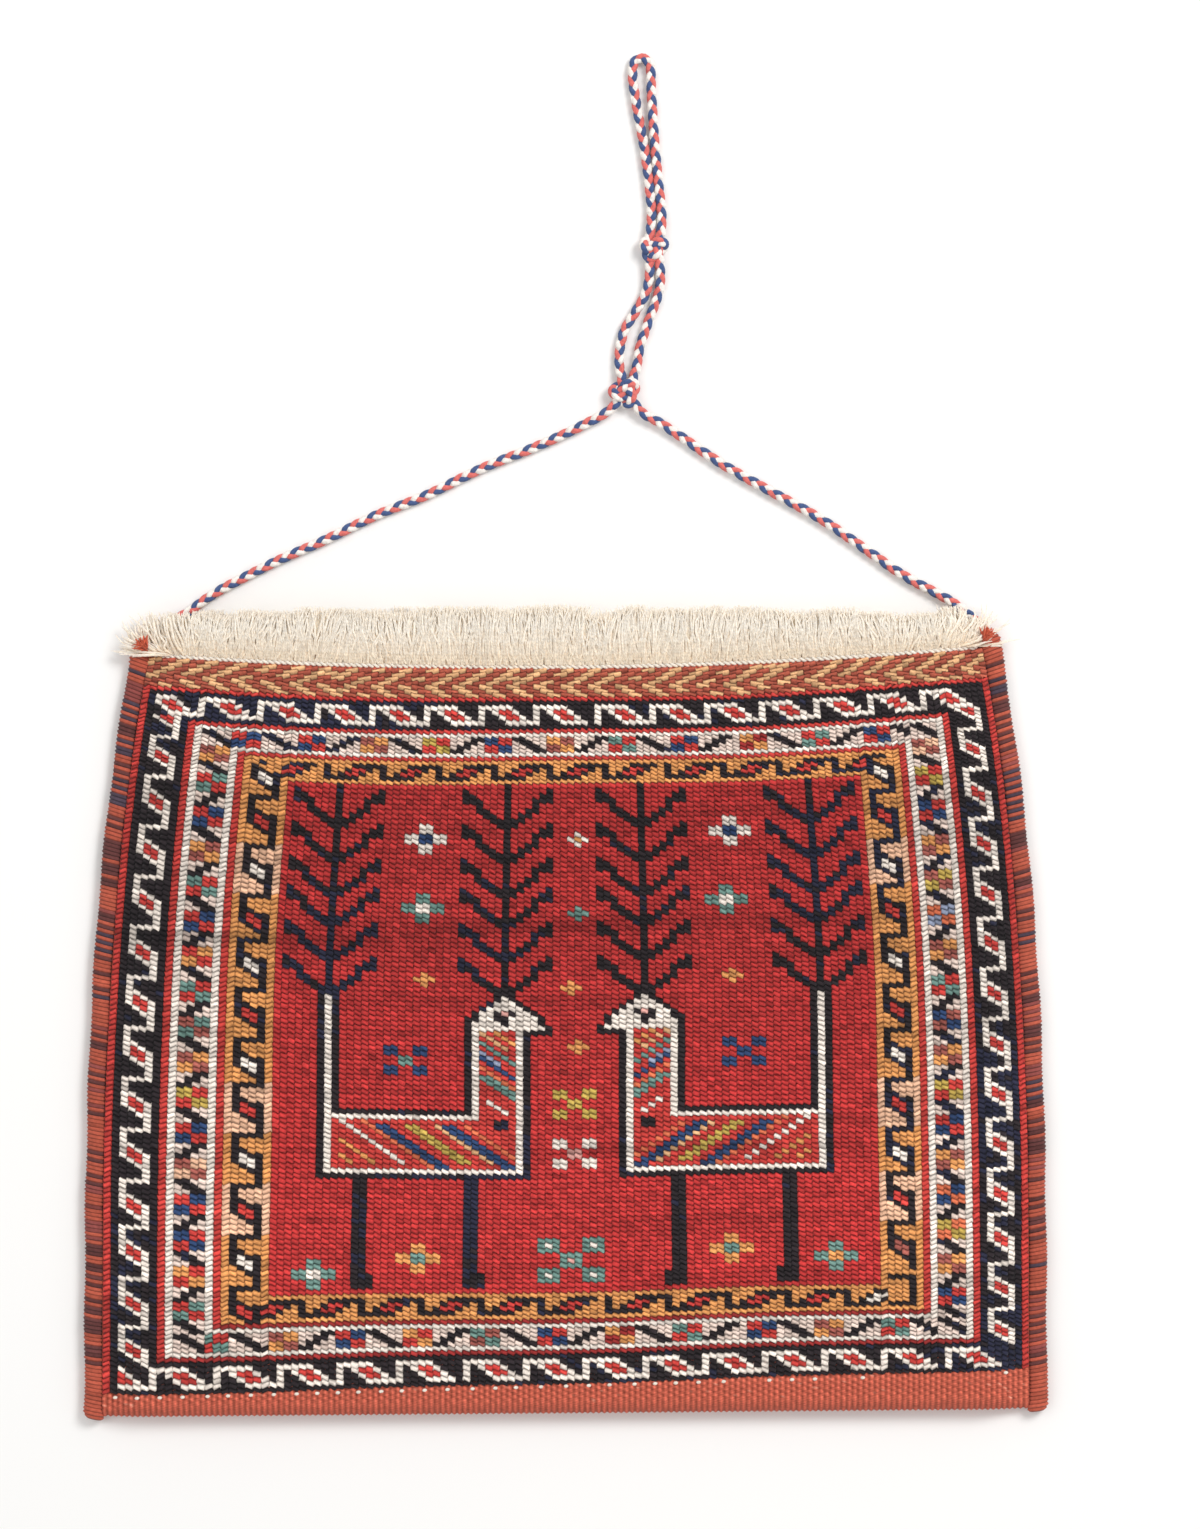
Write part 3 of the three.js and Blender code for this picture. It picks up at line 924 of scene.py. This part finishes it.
lot *= np.where(np.arange(ROWS) < TOP_ROWS + FIELD_ROWS, worn, 1.0)[:, None]

# The dark wool is part near-black and part navy, in soft patches.
for row in range(ROWS):
    for column in range(COLUMNS):
        if chart[row][column] == "N":
            blueness = math.sin(row / 9.0 + column / 31.0) + math.sin(column / 11.0 - row / 37.0)
            chart[row][column] = "n" if blueness + 0.7 * rng.randn() > 0.9 else "N"
dye_values = {letter: np.array(linear(value)) for letter, value in DYES.items()}
STITCH_LENGTH = 2.7
CORNERS_PER_STITCH = 36


def sumak_piece(name, kept, material):
    """The stitches of the face at the kept rows and columns, as one piece."""
    rows_kept, columns_kept = np.nonzero(kept)
    width = len(columns_fine)
    down, along = np.meshgrid(range(3), range(3), indexing="ij")
    i = (3 * rows_kept[:, None] + down.ravel()[None, :]).ravel()
    j = (3 * columns_kept[:, None] + along.ravel()[None, :]).ravel()
    corner_i = np.stack([i, i + 1, i + 1, i], axis=1)
    corner_j = np.stack([j, j, j + 1, j + 1], axis=1)
    used, faces = np.unique(corner_i * width + corner_j, return_inverse=True)
    colours = np.array([[dye_values[letter] for letter in line] for line in chart]) * lot[:, :, None]
    # Each corner's colour is darkened by painted shade at the stitch edges and lifted by a painted highlight
    # at the crest.
    tone = bead_painted_shade[corner_i * width + corner_j].ravel()
    dyes_with_painted_shade = np.repeat(colours[rows_kept, columns_kept], CORNERS_PER_STITCH, axis=0) * tone[:, None]
    dyes_with_painted_shade[:, 3] = 1.0
    places = np.stack([rows_fine[corner_i], STITCH_LENGTH * columns_fine[corner_j]], axis=2).reshape(-1, 2)
    layout_u = (corner_j / 3 - columns_kept.min()) / (np.ptp(columns_kept) + 1)
    layout_v = 1 - (corner_i / 3 - rows_kept.min()) / (np.ptp(rows_kept) + 1)
    layout = np.stack([layout_u, layout_v], axis=2).reshape(-1, 2)
    faces = faces.reshape(-1, 4).tolist()
    return make_piece(name, face_points[used], faces, places, dyes_with_painted_shade, material, layout=layout)


in_field = np.zeros((ROWS, COLUMNS), bool)
in_field[TOP_ROWS : TOP_ROWS + FIELD_ROWS, FRAME_STITCHES : COLUMNS - FRAME_STITCHES] = True

# Sumak wool: soft two-ply yarn, its plies 0.9 mm apart along each bead, matt and a little hairy.
sumak_wool = wool_yarn("sumak_wrapped_wool", 0.88, 0.12, 0.9, 0.22, 0.15)
sumak_field = sumak_piece("sumak_field", in_field, sumak_wool)
sumak_borders = sumak_piece("sumak_borders", ~in_field, sumak_wool)


# ------------------------------------------------------------------------------
# Side bindings: the front and back are closed together down each side by thick wool wrapped over the edge,
# wrap beside wrap. Rust wraps and dark ones take turns, and the wraps at the two corners are all rust.
# ------------------------------------------------------------------------------

BINDING_WIDTH = 7.0
BINDING_DEPTH = 5.9
BINDING_LEVEL = 3.1
BINDING_INSET = 3.25
BINDING_SIDES = 14
LEAST_HEIGHT = 0.05
WRAP_PITCH = 1.35
WRAP_RINGS = 4
WRAP_SKEW = 0.18
PLAIN_ENDS = (0.05, 0.955)
DARK_WRAPS = ("brown", "navy", "brown", "rose")
WRAP_DYES = {"rust": "#b45743", "brown": "#643a38", "navy": "#4a3d49", "rose": "#8f4a45"}

# Binding wool: thick soft yarn, its plies 0.9 mm apart, so each wrap shows a slight twist.
binding_wool = wool_yarn("overcast_binding_wool", 0.9, 0.1, 0.9, 0.2, 0.15)
for name, hand in (("left_side_binding", -1), ("right_side_binding", 1)):
    length = FACE_HEIGHT + 3.0
    rings = int(length / WRAP_PITCH) * WRAP_RINGS
    v = np.linspace(-0.004, 1.018, rings)
    x = hand * (half_width(v) - BINDING_INSET)
    y = fold_y(x) + v * (mouth_y(x) - fold_y(x))
    route = np.stack([x + 0.25 * np.sin(v * 40), y, BINDING_LEVEL + 0 * v], axis=1)
    wrap = np.arange(rings) / WRAP_RINGS
    swell = 1 - 0.07 * np.cos(wrap * 2 * math.pi)
    # Painted shade in the hollow where each wrap meets the next.
    wrap_gap_painted_shade = 1 - 0.5 * np.maximum(np.cos(wrap * 2 * math.pi), 0)
    bulge = 1 + 0.1 * np.exp(-((v / 0.03) ** 2)) + 0.14 * np.exp(-(((1 - v) / 0.03) ** 2))
    ends = np.clip(np.minimum(v + 0.02, 1.03 - v) / 0.022, 0.45, 1) * bulge
    wrap_dyes = []
    for n in range(rings // WRAP_RINGS + 1):
        if n % 5 == 0:
            dark = rng.choice(DARK_WRAPS)
        at = n * WRAP_PITCH / length
        plain = at < PLAIN_ENDS[0] or at > PLAIN_ENDS[1]
        kind = "rust" if plain or rng.rand() < (0.78 if n % 2 else 0.24) else dark
        tone = 1 + 0.1 * rng.randn()
        wrap_dyes.append([max(c * tone, 0.0) for c in linear(WRAP_DYES[kind])[:3]] + [1.0])
    dyes_with_painted_shade = np.array([wrap_dyes[int(w)] for w in wrap])
    dyes_with_painted_shade[:, :3] *= wrap_gap_painted_shade[:, None]
    edge_yarns = empty_yarns()
    radius = BINDING_WIDTH / 2 * swell * ends * (1 + 0.02 * rng.randn(rings))
    add_yarn(edge_yarns, route, radius, BINDING_SIDES, dyes_with_painted_shade, flatten=BINDING_DEPTH / BINDING_WIDTH)
    shell = edge_yarns["points"][0]
    shell[:, 1] += WRAP_SKEW * (shell[:, 0] - np.repeat(x, BINDING_SIDES)) * hand
    shell[:, 2] = np.maximum(shell[:, 2], LEAST_HEIGHT)
    yarn_piece("overcast_" + name, edge_yarns, binding_wool, [name])


# ------------------------------------------------------------------------------
# Twinings and floats: two cream yarns twisted over the last row at each mouth edge lock the weft. Below the
# face, a cream warp end shows as a short loop every 8 mm or so, fewer of them to the right.
# ------------------------------------------------------------------------------

TWINE_YARN = 0.52
TWINE_PITCH = 4.2
TWINE_STEP = 0.6
WARP_CREAM = "#eee2d2"

# Undyed warp wool: fine cream fibres that catch the light at their edges and let some of it through.
warp_wool = wool_yarn("undyed_warp_wool", 0.85, 0.5, 0.6, 0.08, 0.06)
warp_shader = warp_wool.node_tree.nodes["Principled BSDF"].inputs
warp_shader["Subsurface Weight"].default_value = 0.35
warp_shader["Subsurface Radius"].default_value = (1.0, 0.85, 0.7)
warp_shader["Subsurface Scale"].default_value = 1.5 * MM
for name, front in (("front_twining", True), ("back_twining", False)):
    reach = cloth_half(1.0) - 1.5
    x = np.arange(-reach, reach, TWINE_STEP)
    level = thickness(cloth_half(1.0) - abs(x)) - 1.0 if front else 1.1 + 0 * x
    route = np.stack([x, mouth_y(x) + (0.2 if front else 1.2), level], axis=1)
    twine_yarns = empty_yarns()
    turn = x / TWINE_PITCH * 2 * math.pi
    for half in (0, math.pi):
        twisted = route.copy()
        twisted[:, 1] += TWINE_YARN * np.cos(turn + half)
        twisted[:, 2] += TWINE_YARN * np.sin(turn + half)
        add_yarn(twine_yarns, twisted, TWINE_YARN * 1.05, 6, linear(WARP_CREAM))
    yarn_piece("twisted_" + name, twine_yarns, warp_wool, [name])

FLOAT_V = 0.04
float_yarns = empty_yarns()
x = -cloth_half(FLOAT_V) + 5.0
while x < cloth_half(FLOAT_V) - 3.0:
    if x < 60 or rng.rand() < 0.4:
        low = fold_y(x) + strip_top(x) - 0.6
        level = front_level(x, low, 0.05) + 0.1
        across_mm = x + np.array((-0.75, -0.35, 0.35, 0.75))
        level_mm = level + np.array((-0.3, 0, 0, -0.3))
        route = np.stack([across_mm, low + 0.06 * np.arange(4), level_mm], axis=1)
        add_yarn(float_yarns, route, (0.25, 0.6, 0.6, 0.25), 8, linear(WARP_CREAM))
    x += rng.choice((7.4, 8.2, 9.0))
warp_floats = yarn_piece("warp_floats", float_yarns, warp_wool)


# ------------------------------------------------------------------------------
# Fringes: the cut ends of the cream warps stand above each mouth edge. They leave it in bunches 2.5 mm apart
# and open into a dense brushed pile, 14 to 21 mm long, that leans in locks and fans out at the corners.
# ------------------------------------------------------------------------------

BUNCH_PITCH = 2.5
LOCK_BUNCHES = 3
LOCK_SPREAD = (1.3, 0.5, 0.9)
FRINGE_TOP = 145.6
FRINGE_DROP = 1.6
FAN_REACH = 9.0
CORE_CREAM = "#efdcc2"
ROOT_CREAM = np.array(linear("#fbe4c6"))
TIP_CREAM = np.array(linear("#fff2df"))
END_RADII = np.array((0.36, 0.42, 0.4, 0.36, 0.28, 0.1))
for name, front, half, strands in (("front_fringe", True, 149.0, 31), ("back_fringe", False, 130.0, 14)):
    # A flat core fills the pile, so that no light shows between its ends.
    pile = empty_yarns()
    x = np.linspace(-half + 1.0, half - 1.0, 160)
    middle = (mouth_y(x) + 3.0 + FRINGE_TOP - FRINGE_DROP * abs(x / MOUTH_HALF) ** 4 - 3.5) / 2
    level = thickness(cloth_half(1.0) - abs(x)) - 1.0 if front else 1.2 + 0 * x
    reach = (middle - mouth_y(x) - 3.0) * np.clip((half + 0.5 - abs(x)) / 5.0, 0.15, 1)
    route = np.stack([x, middle, level], axis=1)
    add_yarn(pile, route, reach, 12, linear(CORE_CREAM), flatten=0.2 if front else 0.08)
    bunches = int(2 * half / BUNCH_PITCH)
    for b in range(bunches + 1):
        root_x = -half + b * BUNCH_PITCH
        inset = thickness(cloth_half(1.0) - abs(root_x)) if front else 0.0
        if b % LOCK_BUNCHES == 0:
            lock_lean, lock_bend, taller = rng.randn(3) * LOCK_SPREAD
        lean = 1.6 * math.sin(root_x / 19.0) + lock_lean - 0.5 * (b % LOCK_BUNCHES - 1)
        splay = max(0.0, (abs(root_x) - half + FAN_REACH) / FAN_REACH) if front else 0.0
        for s in range(strands):
            layer = (s + 0.5) / strands
            start = np.array([root_x + 0.5 * rng.randn(), mouth_y(root_x) + 0.8, 0.0])
            tall = FRINGE_TOP - FRINGE_DROP * abs(root_x / MOUTH_HALF) ** 4 + taller
            tall -= 0.5 * rng.gamma(2.0, 1.2)
            tip = np.array([start[0] + lean + 2.2 * rng.randn(), tall, 0.0])
            if front:
                start[2] = inset - 1.2 + 1.1 * layer
                tip[2] = inset - 2.4 + 3.4 * layer
            else:
                start[2] = 0.9 + 0.5 * layer
                tip[2] = 0.7 + 1.4 * layer
            if rng.rand() < splay * (1.0 if root_x < 0 else 0.4):
                fan = math.radians(rng.uniform(0, 95))
                far = rng.uniform(9.0, 16.0)
                tip[0] = start[0] + math.copysign(far * math.sin(fan), root_x)
                tip[1] = start[1] + far * math.cos(fan)
            bend = lock_bend + 1.1 * rng.randn()
            t = np.linspace(0, 1, len(END_RADII))[:, None]
            bow, wave = np.sin(t[:, 0] * math.pi), np.sin(t[:, 0] * 2 * math.pi)
            route = start + (tip - start) * t
            route[:, 0] += bend * bow + 0.8 * rng.randn() * wave
            route[:, 2] += (0.9 if front else 0.2) * bow
            tone = min(1 + 0.04 * rng.randn(), 1.04)
            shade = (ROOT_CREAM + (TIP_CREAM - ROOT_CREAM) * np.minimum(1.6 * t, 1)) * tone
            shade[:, 3] = 1.0
            add_yarn(pile, route, END_RADII * (1 + 0.2 * rng.uniform(-1, 1)), 4, shade, flatten=0.4)
    fringe = yarn_piece("brushed_" + name, pile, warp_wool, [name])
    fringe.data.polygons.foreach_set("use_smooth", np.zeros(len(fringe.data.polygons), bool))


# ------------------------------------------------------------------------------
# Cord lashings and corner tufts: rust wool bound round each end of the cord and the top of the side binding,
# with the yarn's own cut ends left as a short tuft.
# ------------------------------------------------------------------------------

LASH_YARN = 0.75
LASH_TURNS = 5
LASH_WIDE = 2.2
LASH_HIGH = 1.75
LASH_RUST = "#b8553c"
TUFT_ENDS = 40
TUFT_RADII = (0.3, 0.34, 0.3, 0.24, 0.1)
TUFT_RUST = linear("#cf5f42")[:3]

# Lashing wool: the same rust yarn as the ground's, matt, its plies 0.8 mm apart.
lashing_wool = wool_yarn("lashing_rust_wool", 0.9, 0.15, 0.8, 0.2, 0.15)
for name, centre, tilt in (
    ("left_cord_lashing", (-149.4, 135.2, 2.9), 0.6),
    ("right_cord_lashing", (150.4, 136.6, 2.9), 2.3),
):
    lash = empty_yarns()
    axis = np.array([math.cos(tilt), math.sin(tilt), 0.0])
    out = np.array([-axis[1], axis[0], 0.0])
    t = np.arange(0, LASH_TURNS, 1 / 16)
    from_middle = t - LASH_TURNS / 2
    swell = 1 - 0.3 * (np.abs(from_middle) / (LASH_TURNS / 2)) ** 2
    coil = np.array(centre) + axis * (from_middle * LASH_YARN * 1.7)[:, None]
    coil += out * (LASH_WIDE * swell * np.cos(t * 2 * math.pi))[:, None]
    coil[:, 2] += LASH_HIGH * swell * np.sin(t * 2 * math.pi)
    add_yarn(lash, coil, LASH_YARN, 8, linear(LASH_RUST), upright=tuple(axis))
    yarn_piece("wound_" + name, lash, lashing_wool, [name])

for name, centre, fan in (
    ("left_corner_tuft", (-151.4, 131.4, 9.6), (1.2, 3.4)),
    ("right_corner_tuft", (150.9, 134.6, 9.6), (0.2, 2.2)),
):
    tuft = empty_yarns()
    for _ in range(TUFT_ENDS):
        angle = rng.uniform(*fan)
        far = rng.uniform(2.4, 4.6)
        root = np.array(centre) + (rng.uniform(-1.2, 1.2), rng.uniform(-1.6, 1.6), rng.uniform(-2.6, -1.2))
        end = np.array(centre) + (far * math.cos(angle), far * math.sin(angle), rng.uniform(-0.8, 1.2))
        t = np.linspace(0, 1, len(TUFT_RADII))[:, None]
        route = root + (end - root) * t
        route[:, 2] += 0.8 * np.sin(t[:, 0] * math.pi)
        tone = 1 + 0.18 * rng.uniform(-1, 1)
        add_yarn(tuft, route, TUFT_RADII, 5, [c * tone for c in TUFT_RUST] + [1.0])
    yarn_piece("loose_" + name, tuft, lashing_wool, [name])
